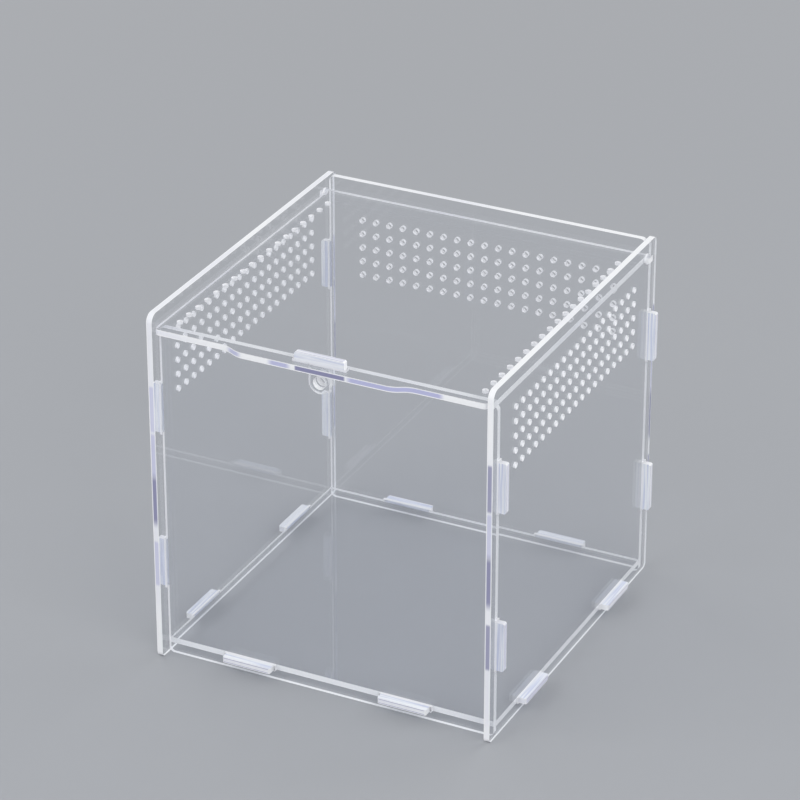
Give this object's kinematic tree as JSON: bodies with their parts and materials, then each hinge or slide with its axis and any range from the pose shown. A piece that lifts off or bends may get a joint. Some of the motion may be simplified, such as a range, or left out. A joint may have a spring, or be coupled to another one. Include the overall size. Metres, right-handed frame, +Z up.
{
  "type": "acrylic terrarium",
  "caption": "Clear acrylic terrarium box of tabbed flat panels with vent holes in its walls and in a hinged lid that locks with a hasp ring.",
  "frame": {"origin": "middle of the outline's width and depth, at the table", "axes": "+X to the right seen from the front, +Y from the hasp at the front to the hinge at the back, +Z up"},
  "size_m": [0.1876, 0.1908, 0.1865],
  "materials": {
    "clear_acrylic": "clear, polished faces and bright laser-cut edges"
  },
  "bodies": {
    "box": {"left_wall": "clear_acrylic", "right_wall": "clear_acrylic", "front_wall": "clear_acrylic", "back_wall": "clear_acrylic", "floor_panel": "clear_acrylic"},
    "lid": {"lid": "clear_acrylic", "hasp": "clear_acrylic"}
  },
  "joints": [
    {"name": "lid_hinge", "type": "hinge", "parent": "box", "child": "lid", "pos_m": [0, 0.08519, 0.178], "axis": [-1, 0, 0], "range_deg": [0, 98]}
  ]
}
